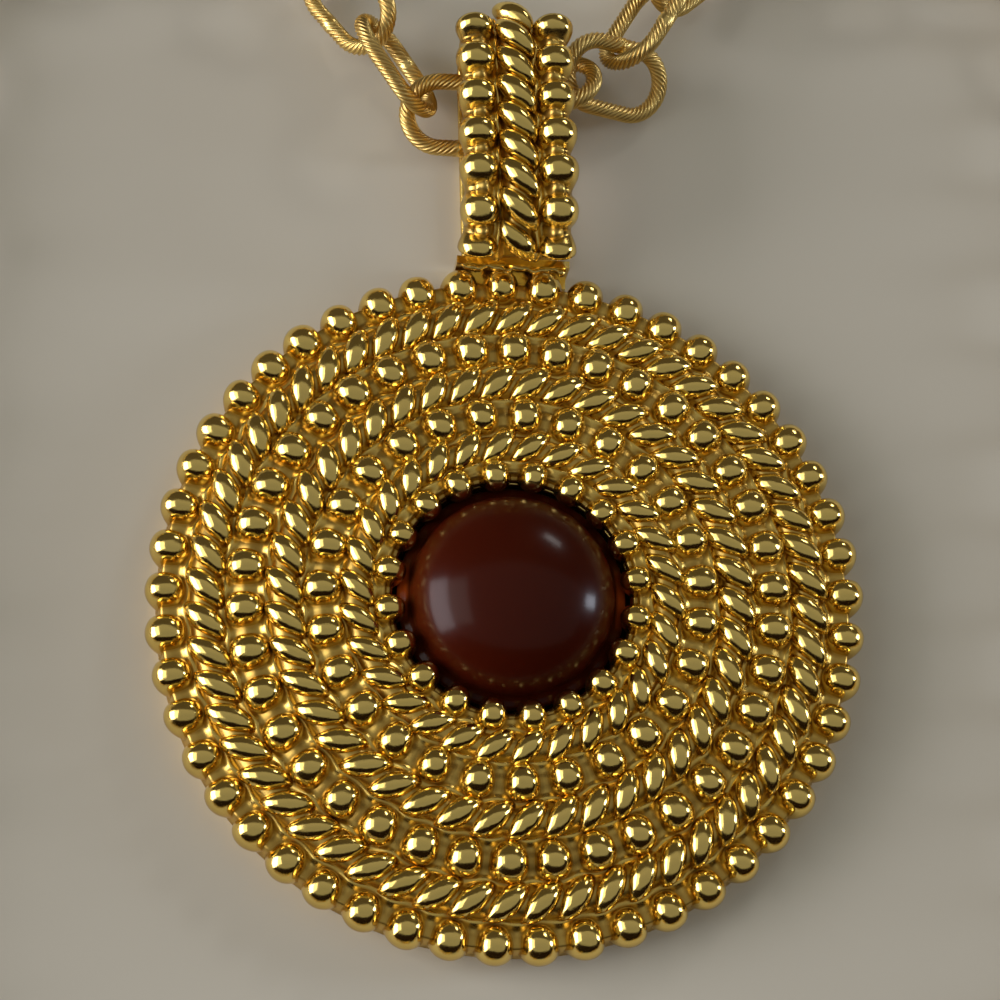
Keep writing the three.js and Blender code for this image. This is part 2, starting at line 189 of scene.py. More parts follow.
def handled_surface():
    """Hairlines, fingermarks and the faint ripple of a cast and plated surface."""
    group = bpy.data.node_groups.new("handled_surface", "ShaderNodeTree")
    face = group.interface
    for name in ("Roughness", "Smudge", "Hairlines", "Ripple", "Depth And Shade"):
        face.new_socket(name, in_out="INPUT", socket_type="NodeSocketFloat")
    for name in ("Roughness", "Height"):
        face.new_socket(name, in_out="OUTPUT", socket_type="NodeSocketFloat")
    n, link = group.nodes, group.links.new
    given, made = n.new("NodeGroupInput"), n.new("NodeGroupOutput")
    place = n.new("ShaderNodeTexCoord")

    def noise(scale, detail, stretch=None):
        tex = n.new("ShaderNodeTexNoise")
        tex.inputs["Scale"].default_value = scale
        tex.inputs["Detail"].default_value = detail
        if stretch is None:
            link(place.outputs["Object"], tex.inputs["Vector"])
            return tex.outputs[0]
        squeeze = n.new("ShaderNodeMapping")
        squeeze.inputs["Scale"].default_value = stretch
        squeeze.inputs["Rotation"].default_value = (0.3, 0.2, 0.6)
        link(place.outputs["Object"], squeeze.inputs["Vector"])
        link(squeeze.outputs[0], tex.inputs["Vector"])
        return tex.outputs[0]

    def step(operation, a, b):
        node = n.new("ShaderNodeMath")
        node.operation = operation
        for socket, value in zip(node.inputs, (a, b)):
            if isinstance(value, (int, float)):
                socket.default_value = value
            else:
                link(value, socket)
        return node.outputs[0]

    smudge = step("MULTIPLY", noise(260, 4), given.outputs["Smudge"])
    lines = step("MULTIPLY", noise(1500, 2, (1, 14, 14)), given.outputs["Hairlines"])
    ripple = step("MULTIPLY", noise(700, 1), given.outputs["Ripple"])
    deep = step("MULTIPLY", given.outputs["Depth And Shade"], 0.14)
    rough = step("ADD", step("ADD", given.outputs["Roughness"], smudge), deep)
    link(step("MAXIMUM", rough, 0.02), made.inputs["Roughness"])
    link(step("ADD", lines, ripple), made.inputs["Height"])
    return group


patina_and_shade_nodes = patina_and_shade()
handled_nodes = handled_surface()


def metal_finish(name, metal, deep, depth, roughness, smudge, hairlines, ripple, bump):
    """Plated metal: its colour, its tone in the recesses and in painted shade, and how it was
    finished and handled.
    """
    made = bpy.data.materials.new(name)
    made.use_nodes = True
    n, link = made.node_tree.nodes, made.node_tree.links.new
    shader = n["Principled BSDF"]
    shader.inputs["Metallic"].default_value = 1
    depth_shade_map = n.new("ShaderNodeAttribute")
    depth_shade_map.attribute_name = "depth_and_shade"
    patina_and_shade_group = n.new("ShaderNodeGroup")
    patina_and_shade_group.node_tree = patina_and_shade_nodes
    patina_and_shade_group.inputs["Metal"].default_value = (*metal, 1)
    patina_and_shade_group.inputs["Deep Tone"].default_value = (*deep, 1)
    patina_and_shade_group.inputs["Amount"].default_value = depth
    handled = n.new("ShaderNodeGroup")
    handled.node_tree = handled_nodes
    handled.inputs["Roughness"].default_value = roughness
    handled.inputs["Smudge"].default_value = smudge
    handled.inputs["Hairlines"].default_value = hairlines
    handled.inputs["Ripple"].default_value = ripple
    relief = n.new("ShaderNodeBump")
    relief.inputs["Strength"].default_value = bump
    relief.inputs["Distance"].default_value = 0.0001
    link(depth_shade_map.outputs["Fac"], patina_and_shade_group.inputs["Depth And Shade"])
    link(depth_shade_map.outputs["Fac"], handled.inputs["Depth And Shade"])
    link(patina_and_shade_group.outputs["Color"], shader.inputs["Base Color"])
    link(handled.outputs["Roughness"], shader.inputs["Roughness"])
    link(handled.outputs["Height"], relief.inputs["Height"])
    link(relief.outputs["Normal"], shader.inputs["Normal"])
    return made


YELLOW_GOLD = (0.97, 0.72, 0.22)
DEEP_GOLD = (0.40, 0.225, 0.045)
CAST_GOLD = (0.96, 0.68, 0.18)
BRUSHED_GOLD = (0.98, 0.69, 0.24)
polished_gold = metal_finish(
    "polished_gold", YELLOW_GOLD, DEEP_GOLD, depth=0.8,
    roughness=0.1, smudge=0.06, hairlines=0.1, ripple=2.2, bump=0.4)
cast_gold = metal_finish(
    "cast_gold", CAST_GOLD, DEEP_GOLD, depth=0.7,
    roughness=0.2, smudge=0.08, hairlines=0.15, ripple=0.9, bump=0.3)
brushed_gold = metal_finish(
    "brushed_gold", BRUSHED_GOLD, DEEP_GOLD, depth=0.6,
    roughness=0.2, smudge=0.12, hairlines=0.9, ripple=0.5, bump=0.3)


def soften(node, width, finish, steps=3):
    """Rounds the edges of a CAD piece and gives it its finish."""
    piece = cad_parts[node]
    edge = piece.modifiers.new("softened_edge", "BEVEL")
    edge.width = width * MM
    edge.segments = steps
    edge.limit_method = "ANGLE"
    edge.angle_limit = math.radians(35)
    edge.harden_normals = False
    piece.data.materials.clear()
    piece.data.materials.append(finish)
    smooth = piece.modifiers.new("smooth_faces", "WEIGHTED_NORMAL")
    smooth.keep_sharp = True
    return piece


soften("back_plate", 0.22, brushed_gold)

# ---- domed shell ----------------------------------------------------------------------------
# The cast body of the medallion: a low dome whose thin ridges run up between the courses of
# beads and rope and hold them, wavier beside the beads. One casting with the courses on it.
BEAD_COURSES = {
    # name: (radius of the course, bead radius, beads), in millimetres
    "bead_ring_outer": (29.9, 1.78, 49),
    "bead_ring_middle": (23.1, 1.8, 38),
    "bead_ring_inner": (16.5, 1.7, 27),
    "bezel_bead_ring": (10.85, 1.42, 20),
}
ROPE_COURSES = {
    # name: (radius of the course, rope radius, lobes round it), in millimetres
    "rope_ring_outer": (26.45, 1.6, 56),
    "rope_ring_middle": (19.7, 1.56, 42),
    "rope_ring_inner": (13.55, 1.42, 30),
}


OUTER_RADIUS, _, OUTER_BEADS = BEAD_COURSES["bead_ring_outer"]
COURSE_LEVEL, DOME_CURVE, UNDER_COURSES = 2.7, 0.0045, 1.9


def dome_top(r):
    """The height of the plain dome under its courses, at this distance from the axis."""
    return COURSE_LEVEL + DOME_CURVE * (OUTER_RADIUS ** 2 - r * r) - UNDER_COURSES


def course_height(name):
    low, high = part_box(name)
    return (low[2] + high[2]) / 2 / MM


def skin(name, rings, closed, depth_and_shade):
    """A closed mesh from rings of points in millimetres, each ring joined to the next."""
    count, around = rings.shape[:2]
    i = np.arange(count if closed else count - 1)[:, None]
    k = np.arange(around)[None, :]
    near, far = i * around, (i + 1) % count * around
    beside = (k + 1) % around
    faces = np.stack([near + k, near + beside, far + beside, far + k], -1).reshape(-1, 4).tolist()
    if not closed:
        faces += [list(range(around))[::-1], list(range((count - 1) * around, count * around))]
    mesh = bpy.data.meshes.new(name)
    mesh.from_pydata((rings.reshape(-1, 3) * MM).tolist(), [], faces)
    # each point's deep tone: how deep it lies in a hollow, with painted shade mixed in
    depth_shade_map = mesh.attributes.new("depth_and_shade", "FLOAT", "POINT")
    depth_shade_map.data.foreach_set("value", np.clip(depth_and_shade, 0, 1).astype(np.float32).ravel())
    mesh.shade_smooth()
    piece = bpy.data.objects.new(name, mesh)
    scene.collection.objects.link(piece)
    return piece


def outward(piece):
    """Turns the faces of a piece the right way out, by the sign of its volume."""
    mesh = piece.data
    mesh.calc_loop_triangles()
    points = np.empty(len(mesh.vertices) * 3)
    mesh.vertices.foreach_get("co", points)
    points = points.reshape(-1, 3)
    tris = np.empty(len(mesh.loop_triangles) * 3, int)
    mesh.loop_triangles.foreach_get("vertices", tris)
    a, b, c = (points[tris.reshape(-1, 3)[:, j]] for j in range(3))
    if np.einsum("ij,ij->i", a, np.cross(b, c)).sum() < 0:
        mesh.flip_normals()
    return piece


def joined(name, shells, closed=True):
    """Several closed skins as one piece."""
    made = [outward(skin(name + "_part", rings, closed, depth_and_shade)) for rings, depth_and_shade in shells]
    first = made[0]
    if len(made) > 1:
        with bpy.context.temp_override(active_object=first, selected_editable_objects=made):
            bpy.ops.object.join()
    first.name = name
    return first


def fit(piece, body, slot, finish, *nodes):
    """Puts a piece on its body, with its finish, in place of the CAD nodes it stands for."""
    outward(piece).data.materials.append(finish)
    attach(piece, body)
    if nodes:
        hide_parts(*nodes)
    return piece


DOME_RIM, DOME_EYE, DOME_FLOOR, DOME_THICK = 30.75, 11.1, 0.82, 1.0
RIM_TURN, RIM_LIP, RIM_SCALLOP, FLAT_UNDER = 30.15, 0.3, 0.25, 29.0
FILL_DROP, PLAIN_RECESS = 0.16, 0.55
WALL_HIGH, WALL_SWELL, WALL_WEAVE, WALL_WIDE = 0.36, 0.16, 0.14, 0.42
WEB_HIGH, WEB_WIDE, WEB_POLISH = 0.45, 1.0, 0.35
CREVICE_SHADE, CREVICE_WIDE = 0.75, 0.32
dome_steps, dome_turns, under_steps = 110, 588, 24
courses = sorted(
    [(r, s, beads, course_height(name)) for name, (r, s, beads) in BEAD_COURSES.items()]
    + [(r, s, 0, course_height(name)) for name, (r, s, _) in ROPE_COURSES.items()], reverse=True)
theta = np.linspace(0, 2 * math.pi, dome_turns, endpoint=False)[None, :]
r_top = np.linspace(DOME_RIM, DOME_EYE, dome_steps)[:, None] + 0 * theta
# the gold fills the courses' sides to just under their middles
at = np.array([c[0] for c in courses])[::-1]
fill = np.array([c[3] - FILL_DROP * c[1] for c in courses])[::-1]
z_top = np.interp(r_top, at, fill)
# the dome's deep tone, partly patina and partly painted shade: middling on the plain skin, less on
# the walls and polished webs
dome_depth_and_shade = np.full_like(z_top, PLAIN_RECESS)
for (r_out, s_out, n_out, _), (r_in, s_in, n_in, _) in zip(courses, courses[1:]):
    middle = (r_out - s_out + r_in + s_in) / 2
    wave = -np.cos((n_out or n_in) * theta)
    # a low wavy wall stands between two courses; it gives way to each bead
    middle = middle + (WALL_WEAVE if n_in else -WALL_WEAVE) * wave
    wall = np.exp(-np.abs((r_top - middle) / WALL_WIDE) ** 2)
    z_top = z_top + (WALL_HIGH - WALL_SWELL * wave) * wall
    dome_depth_and_shade = dome_depth_and_shade - PLAIN_RECESS * wall
for r, s, beads, _ in courses:
    if not beads:
        continue
    # a web rises between two beads of a course
    between = 0.5 + 0.5 * np.cos(beads * theta)
    web = np.exp(-((r_top - r) / WEB_WIDE) ** 2) * between ** 1.5
    z_top = z_top + WEB_HIGH * web
    dome_depth_and_shade = dome_depth_and_shade - WEB_POLISH * web
    # painted shade darkens the casting's skin in the crevice round each bead
    turn = (theta * beads / (2 * math.pi)) % 1 - 0.5
    from_bead = np.hypot(r_top - r, 2 * math.pi * r / beads * turn)
    dome_depth_and_shade = dome_depth_and_shade + CREVICE_SHADE * np.exp(-((from_bead - s) / CREVICE_WIDE) ** 2)
# the rim rounds over to the back plate, and pulls in between the outer beads
rim_drop = np.clip((r_top - RIM_TURN) / (DOME_RIM - RIM_TURN), 0, 1)
z_top = z_top - (z_top - DOME_FLOOR - RIM_LIP) * (1 - np.sqrt(1 - rim_drop ** 2 * 0.98))
r_top = r_top - RIM_SCALLOP * rim_drop * (0.5 + 0.5 * np.cos(OUTER_BEADS * theta))
r_under = np.linspace(DOME_EYE, DOME_RIM - 0.05, under_steps)[:, None] + 0 * theta
z_under = np.maximum(DOME_FLOOR, dome_top(r_under) - DOME_THICK)
z_under = np.where(r_under > FLAT_UNDER, DOME_FLOOR, z_under)
r_all = np.concatenate([r_top, r_under])
z_all = np.concatenate([z_top, z_under])
# the underside takes the full deep tone, as painted shade
depth_and_shade = np.concatenate([dome_depth_and_shade, np.ones_like(z_under)])
rings = np.stack([r_all * np.cos(theta), r_all * np.sin(theta), z_all], -1).transpose(1, 0, 2)
dome = skin("cast_dome", rings, True, depth_and_shade.T)
fit(dome, "pendant", "polished_gold", cast_gold, "medallion_dome")

# ---- bead courses ---------------------------------------------------------------------------
# Four rings of beaded wire: gold balls joined by thick necks, cast together with the dome and
# tumbled bright. No two balls are quite the same size, as on any hand-made master.
BEAD_STEPS, BEAD_SIDES, UNEVEN_SIZE, UNEVEN_PLACE, NECK_BLEND = 30, 22, 0.018, 0.03, 5


def beaded(length, count, bead, neck, sink, seed, closed):
    """Along a beaded wire: distances, section radius, how far the centre sinks, recess."""
    rng = np.random.default_rng(seed)
    pitch = length / count if closed else length / (count - 1)
    steps = BEAD_STEPS
    at, radius, sag, deep = [], [], [], []
    for i in range(count):
        size = bead * (1 + UNEVEN_SIZE * rng.standard_normal())
        centre = (i + 0.5) * pitch if closed else i * pitch
        shift = UNEVEN_PLACE * pitch * rng.uniform(-1, 1)
        u = np.linspace(-1, 1, steps, endpoint=False) + 1 / steps
        d = pitch / 2 * np.sin(math.pi / 2 * u)
        ball = np.sqrt(np.maximum(size ** 2 - d ** 2, 1e-6))
        s = (ball ** NECK_BLEND + neck ** NECK_BLEND) ** (1 / NECK_BLEND)
        if not closed and i == 0:
            d = np.where(d < 0, -size * 0.999 * np.sin(np.linspace(math.pi / 2, 0, steps)), d)
            s = np.where(d < 0, np.sqrt(np.maximum(size ** 2 - d ** 2, 1e-6)), s)
        if not closed and i == count - 1:
            d = np.where(d > 0, size * 0.999 * np.sin(np.linspace(0, math.pi / 2, steps)), d)
            s = np.where(d > 0, np.sqrt(np.maximum(size ** 2 - d ** 2, 1e-6)), s)
        between = np.clip((size - s) / (size - neck), 0, 1)
        at.append(centre + d + shift * (1 - between))
        radius.append(s)
        sag.append(sink * between ** 2)
        deep.append(np.clip(between * 1.6 - 0.55, 0, 1))
    return [np.concatenate(x) for x in (at, radius, sag, deep)]


def round_section(line, out, up, radius, sag, deep, sides):
    """Rings of a round section along a line, and how deep each point lies, with painted shade added
    on the underside.
    """
    a = np.linspace(0, 2 * math.pi, sides, endpoint=False)
    across = radius[:, None] * np.cos(a)
    rise = radius[:, None] * np.sin(a) - sag[:, None]
    rings = line[:, None] + across[..., None] * out[:, None] + rise[..., None] * up[:, None]
    # painted shade on the underside of the section, mixed into its deep tone
    shade_below = np.clip(0.85 - 1.5 * np.sin(a), 0, 1)[None, :]
    return rings, np.maximum(deep[:, None], shade_below)


def ring_frame(radius, height, along):
    """Points on a level ring about the medallion's axis, and its outward and upward directions."""
    a = along / radius
    out = np.stack([np.cos(a), np.sin(a), 0 * a], -1)
    up = np.tile([0.0, 0.0, 1.0], (len(a), 1))
    return radius * out + height * up, out, up


for seed, (name, (radius, bead, beads)) in enumerate(BEAD_COURSES.items()):
    along, size, sag, deep = beaded(
        2 * math.pi * radius, beads, bead,
        neck=0.3 * bead, sink=0.6 * bead, seed=seed + 1, closed=True)
    place = ring_frame(radius, course_height(name), along)
    rings, depth_and_shade = round_section(*place, size, sag, deep, BEAD_SIDES)
    piece = skin("beaded_" + name, rings, True, depth_and_shade)
    fit(piece, "pendant", "polished_gold", polished_gold, name)

# ---- rope courses ---------------------------------------------------------------------------
# Three rings of rope between the bead courses. The turns of each rope's strands show as a row
# of slanting, leaf-like lobes over a round core. Cast with the dome like the beads.
LOBE_STEPS, LOBE_SIDES, LOBE_HALF, LOBE_SWING, LOBE_LEAN = 19, 18, 0.72, 1.3, 0.55
LOBE_REACH, LOBE_RISE, LOBE_SINK, RING_SLOPE = 0.97, 0.42, 0.08, 1.2
CORE_SIZE, CORE_SINK, CORE_RECESS, CORE_SIDES = 0.85, 0.45, 0.8, 14


def rope_lobes(at, rope, slope):
    """The lobes of a rope, one leaf-shaped shell for each place [point, along, out, up]: each
    runs from side to side over the rope at this slope and dives under at both ends."""
    u = -np.cos(np.linspace(0.02, math.pi - 0.02, LOBE_STEPS))
    a = np.linspace(0, 2 * math.pi, LOBE_SIDES, endpoint=False)
    swing = LOBE_SWING * u
    half = LOBE_HALF * rope * (1 - np.abs(u) ** 1.9) ** 0.8
    shells = []
    for point, along, out, up in at:
        middle = (
            point + np.outer(-rope * slope * u, along)
            + np.outer(LOBE_REACH * rope * np.sin(swing), out)
            + np.outer(LOBE_RISE * rope * np.cos(swing) - LOBE_SINK, up))
        ahead = np.gradient(middle, axis=0)
        ahead /= np.linalg.norm(ahead, axis=1)[:, None]
        lean = LOBE_LEAN * swing
        high = np.cos(lean)[:, None] * up + np.sin(lean)[:, None] * out
        high -= np.einsum("ij,ij->i", high, ahead)[:, None] * ahead
        high /= np.linalg.norm(high, axis=1)[:, None]
        wide = np.cross(ahead, high)
        rings = (
            middle[:, None] + (half[:, None] * np.cos(a))[..., None] * wide[:, None]
            + (half[:, None] * np.sin(a))[..., None] * high[:, None])
        # painted shade on each lobe's underside; its ends, where it dives under, lie deeper
        shade_below = np.clip(0.8 - 1.4 * np.sin(a), 0, 1)[None, :] + 0 * half[:, None]
        shells.append((rings, np.maximum(shade_below, (np.abs(u) ** 4)[:, None])))
    return shells


for name, (radius, rope, lobes) in ROPE_COURSES.items():
    turn = np.arange(lobes) * 2 * math.pi / lobes
    points, out, up = ring_frame(radius, course_height(name), turn * radius)
    lobe_shells = rope_lobes(zip(points, np.cross(up, out), out, up), rope, RING_SLOPE)
    piece = joined("twisted_" + name, lobe_shells, False)
    fit(piece, "pendant", "polished_gold", polished_gold, name)
    core = np.linspace(0, 2 * math.pi * radius, lobes * 4, endpoint=False)
    size = np.full_like(core, CORE_SIZE * rope)
    place = ring_frame(radius, course_height(name), core)
    rings, depth_and_shade = round_section(
        *place, size, CORE_SINK * size, CORE_RECESS + 0 * core, CORE_SIDES)
    fit(skin("core_of_" + name, rings, True, depth_and_shade), "pendant", "polished_gold", cast_gold)

# ---- bezel and stone ------------------------------------------------------------------------
# A gold cup turned from sheet holds the stone, whose girdle sits under the bezel's beads. The
# stone is a low cabochon of cognac-brown glass or amber, nearly opaque where it is thick and
# glowing orange at its thin edge; that glow is painted into its colour, on the two lit sides.


def turned(name, profile, steps=128):
    """A solid of revolution about the medallion's axis, from [radius, height, deep tone] points
    that start and end on the axis."""
    line = np.array(profile)
    a = np.linspace(0, 2 * math.pi, steps, endpoint=False)[None, :]
    r, z, deep = (line[:, j][:, None] + 0 * a for j in range(3))
    piece = skin(name, np.stack([r * np.cos(a), r * np.sin(a), z], -1), False, deep)
    weld = bmesh.new()
    weld.from_mesh(piece.data)
    bmesh.ops.remove_doubles(weld, verts=weld.verts, dist=1e-7)
    weld.to_mesh(piece.data)
    weld.free()
    return piece


# the third column is the cup's deep tone, darker towards its foot and floor: partly patina, partly
# painted shade
cup_profile = [
    (0, 2.6, 1), (11.0, 2.6, 1), (11.2, 2.8, 1), (11.2, 4.0, 0.7), (11.13, 4.2, 0.2),
    (10.95, 4.3, 0), (10.7, 4.3, 0), (10.48, 4.2, 0.2), (10.4, 4.05, 0.5), (10.4, 3.7, 0.9),
    (10.3, 3.5, 1), (0, 3.5, 1),
]
cup = turned("bezel_cup_turned", cup_profile)
fit(cup, "pendant", "polished_gold", polished_gold, "bezel_cup")

STONE_GIRDLE, STONE_DOME, STONE_SEAT, STONE_EDGE, STONE_RISE = 10.0, 9.0, 3.9, 4.65, 6.2
CROWN_STEPS, CROWN_START, CROWN_ROUND, THIN_EDGE, SIDE_LIGHT = 30, 0.06, 0.96, 3.0, 8
stone_profile = [
    (0, STONE_SEAT, 1), (9.5, STONE_SEAT, 0.6), (9.85, 4.0, 0), (STONE_GIRDLE, 4.15, 0),
    (STONE_GIRDLE, 4.45, 0), (9.92, 4.62, 0), (9.7, 4.78, 0), (9.35, 4.9, 0),
]
for i in range(CROWN_STEPS):
    a = math.pi / 2 * (CROWN_START + (1 - CROWN_START) * i / (CROWN_STEPS - 1))
    r = STONE_DOME * math.cos(a) ** CROWN_ROUND if i < CROWN_STEPS - 1 else 0.0
    z = STONE_EDGE + STONE_RISE * math.sin(a)
    stone_profile.append((r, z, min(1.0, (STONE_GIRDLE - r) / THIN_EDGE)))
cognac = bpy.data.materials.new("cognac_stone")
cognac.use_nodes = True
n, link = cognac.node_tree.nodes, cognac.node_tree.links.new
gloss = n["Principled BSDF"]
gloss.inputs["Roughness"].default_value = 0.3
gloss.inputs["Specular IOR Level"].default_value = 0.05
gloss.inputs["Coat Weight"].default_value = 0.24
gloss.inputs["Coat Roughness"].default_value = 0.16
gloss.inputs["IOR"].default_value = 1.54
gloss.inputs["Subsurface Weight"].default_value = 0.25
gloss.inputs["Subsurface Radius"].default_value = (1.0, 0.25, 0.08)
gloss.inputs["Subsurface Scale"].default_value = 0.003
thickness_and_shade = n.new("ShaderNodeAttribute")
thickness_and_shade.attribute_name = "depth_and_shade"
place = n.new("ShaderNodeTexCoord")
cloud = n.new("ShaderNodeTexNoise")
cloud.inputs["Scale"].default_value = 170
cloud.inputs["Detail"].default_value = 3
drift = n.new("ShaderNodeMath")
drift.operation = "MULTIPLY_ADD"
drift.inputs[1].default_value = 0.35
shade = n.new("ShaderNodeMath")
shade.operation = "SUBTRACT"
shade.inputs[1].default_value = 0.175
# the orange glow of the thin edge is painted into the colour, in place of light shining through the
# stone
EDGE_GLOW, RIM_TONE = (0.55, 0.085, 0.008, 1), (0.085, 0.014, 0.002, 1)
HEART_TONE = (0.052, 0.0055, 0.0012, 1)
body_tone = n.new("ShaderNodeValToRGB")
tones = body_tone.color_ramp.elements
tones[0].position, tones[0].color = 0.0, EDGE_GLOW
tones[1].position, tones[1].color = 1.0, HEART_TONE
tones.new(0.3).color = RIM_TONE
link(place.outputs["Object"], cloud.inputs["Vector"])
link(cloud.outputs[0], drift.inputs[0])
link(thickness_and_shade.outputs["Fac"], drift.inputs[2])
link(drift.outputs[0], shade.inputs[0])
link(shade.outputs[0], body_tone.inputs[0])
link(body_tone.outputs[0], gloss.inputs["Base Color"])
stone = turned("stone_cabochon", stone_profile)
# the orange glow of the thin edge is painted only on the two sides that face the softboxes, and
# painted shade keeps it dark above and below
for vertex, deep in zip(stone.data.vertices, stone.data.attributes["depth_and_shade"].data):
    lit = abs(vertex.co.x) / max(math.hypot(vertex.co.x, vertex.co.y), 1e-6)
    deep.value = 1 - (1 - deep.value) * lit ** SIDE_LIGHT
fit(stone, "pendant", "amber_stone", cognac, "cabochon")

# ---- bail foot ------------------------------------------------------------------------------
# A short plate soldered to the rim that carries the bail. The solder has run into a small wavy
# fillet along its front edge and was left as it set.
soften("bail_foot", 0.25, polished_gold)
SEAM_HALF, SEAM_END, SEAM_POINTS, SEAM_Y, SEAM_Z, SEAM_SIZE = 4.9, 5.05, 60, 31.72, 3.05, 0.34
rng = np.random.default_rng(11)
x = np.linspace(-SEAM_HALF, SEAM_HALF, SEAM_POINTS)
wave = 0.12 * np.sin(x * 2.3) + 0.07 * np.sin(x * 5.1 + 1) + 0.03 * rng.standard_normal(SEAM_POINTS)
fade = np.clip((SEAM_END - np.abs(x)) / 0.5, 0.15, 1)
fat = np.clip(SEAM_SIZE + 0.08 * np.sin(x * 3.1), 0.05, 1) * fade
line = np.stack([x, SEAM_Y + wave, np.full_like(x, SEAM_Z) + 0.5 * wave], -1)
out = np.tile([0.0, -0.8, 0.6], (SEAM_POINTS, 1))
up = np.tile([0.0, 0.6, 0.8], (SEAM_POINTS, 1))
rings, depth_and_shade = round_section(line, out, up, fat, 0 * x, 0.3 + 0 * x, 12)
fit(skin("foot_solder_seam", rings, False, depth_and_shade), "pendant", "polished_gold", polished_gold)

# ---- bail -----------------------------------------------------------------------------------
# A strap of sheet bent into a flat loop, with two rows of beads and a rope run up its front
# and over the top. The gold between them is left wavy by the casting.
BAIL_LEAN, BAIL_HINGE = math.radians(2.2), 32.5
FOOT_BEND, SHOULDER, BEND_Y, FRONT_Z, BACK_Z = 5.0, 37.9, 50.9, 7.2, 0.4
TOP_BEND = (FRONT_Z - BACK_Z) / 2
FOOT_LEAN = math.radians(65)
PATH = [FOOT_BEND * FOOT_LEAN, BEND_Y - SHOULDER, TOP_BEND * math.pi, BEND_Y - SHOULDER + 4.5]


def bail_point(s, offset):
    """A point [y, z] and its outward direction, at a distance s along the strap's middle."""
    if s <= PATH[0]:
        a = math.pi / 2 + FOOT_LEAN - s / FOOT_BEND
        r = FOOT_BEND + offset
        z = FRONT_Z - FOOT_BEND + r * math.sin(a)
        return SHOULDER + r * math.cos(a), z, math.cos(a), math.sin(a)
    s -= PATH[0]
    if s <= PATH[1]:
        return SHOULDER + s, FRONT_Z + offset, 0, 1
    s -= PATH[1]
    if s <= PATH[2]:
        a = math.pi / 2 - s / TOP_BEND
        r = TOP_BEND + offset
        z = (FRONT_Z + BACK_Z) / 2 + r * math.sin(a)
        return BEND_Y + r * math.cos(a), z, math.cos(a), math.sin(a)
    return BEND_Y - (s - PATH[2]), BACK_Z - offset, 0, -1


def bail_frame(x, offset, start, end, wanted=None, count=400):
    """The line at x and this offset from the strap's middle, with its two cross directions at
    the wanted distances along it; with none wanted, only its length."""
    s = np.linspace(start, end, count) * sum(PATH)
    made = np.array([bail_point(v, offset) for v in s])
    run = np.concatenate([[0], np.cumsum(np.hypot(*np.diff(made[:, :2], axis=0).T))])
    if wanted is None:
        return run[-1]
    y, z, ny, nz = (np.interp(wanted, run, made[:, j]) for j in range(4))
    c, d = math.cos(BAIL_LEAN), math.sin(BAIL_LEAN)
    y = y - BAIL_HINGE
    line = np.stack([x * c - y * d, x * d + y * c + BAIL_HINGE, z], -1)
    return line, np.tile([c, d, 0.0], (len(y), 1)), np.stack([-ny * d, ny * c, nz], -1)


# how far along the loop the rows run, and where they lie beside and above the strap's middle
ROW_START, BEADS_END, ROW_END = 0.02, 0.43, 0.47
ROW_SIDE, BEAD_LINE, ROPE_LINE = 3.6, 2.1, 2.0
ROW_BEADS, ROW_BEAD, ROW_NECK, ROW_SINK = 7, 1.76, 1.25, 0.75
BAIL_ROPE, BAIL_SLOPE, FIRST_LOBE, LOBE_STEP, BAIL_CORE = 1.62, 1.25, 1.0, 2.78, 1.3
for side_name, x, seed in (("left", -ROW_SIDE, 21), ("right", ROW_SIDE, 22)):
    length = bail_frame(x, BEAD_LINE, ROW_START, BEADS_END)
    along, size, sag, deep = beaded(
        length, ROW_BEADS, ROW_BEAD, neck=ROW_NECK, sink=ROW_SINK, seed=seed, closed=False)
    place = bail_frame(x, BEAD_LINE, ROW_START, BEADS_END, along)
    rings, depth_and_shade = round_section(*place, size, sag, deep, 24)
    name = "bail_bead_row_" + side_name
    piece = skin("beaded_" + name, rings, False, depth_and_shade)
    fit(piece, "pendant", "polished_gold", polished_gold, name)

length = bail_frame(0, ROPE_LINE, ROW_START, ROW_END)
along = np.arange(FIRST_LOBE, length, LOBE_STEP)
line, out, up = bail_frame(0, ROPE_LINE, ROW_START, ROW_END, along)
lobe_shells = rope_lobes(zip(line, np.cross(up, out), out, up), BAIL_ROPE, BAIL_SLOPE)
piece = joined("twisted_bail_rope", lobe_shells, False)
fit(piece, "pendant", "polished_gold", polished_gold, "bail_rope")
along = np.linspace(0.3, length + 0.3, 120)
from_end = np.minimum(along, length - along + 0.6)
size = np.full_like(along, BAIL_CORE) * np.clip(from_end / 0.8, 0.1, 1) ** 0.5
place = bail_frame(0, ROPE_LINE, ROW_START, ROW_END, along)
rings, depth_and_shade = round_section(*place, size, CORE_SINK * size, CORE_RECESS + 0 * along, CORE_SIDES)
fit(skin("core_of_bail_rope", rings, False, depth_and_shade), "pendant", "polished_gold", cast_gold)

STRAP_HALF, SHEET_HALF = 4.4, 0.4
outline = []
for a in np.linspace(-math.pi / 2, math.pi / 2, 7):
    round_x = STRAP_HALF - SHEET_HALF + SHEET_HALF * math.cos(a)
    outline.append((round_x, SHEET_HALF * math.sin(a)))
outline += [(v, SHEET_HALF) for v in np.linspace(STRAP_HALF - 0.5, -STRAP_HALF + 0.5, 61)]
for a in np.linspace(math.pi / 2, 3 * math.pi / 2, 7):
    round_x = -STRAP_HALF + SHEET_HALF + SHEET_HALF * math.cos(a)
    outline.append((round_x, SHEET_HALF * math.sin(a)))
outline += [(v, -SHEET_HALF) for v in np.linspace(-STRAP_HALF + 0.6, STRAP_HALF - 0.6, 12)]
outline = np.array(outline)
ROW_WEB_HIGH, ROW_WEB_WIDE, RIPPLE_STEP, BACK_DARKENING = 1.95, 1.15, 3.5, 0.15
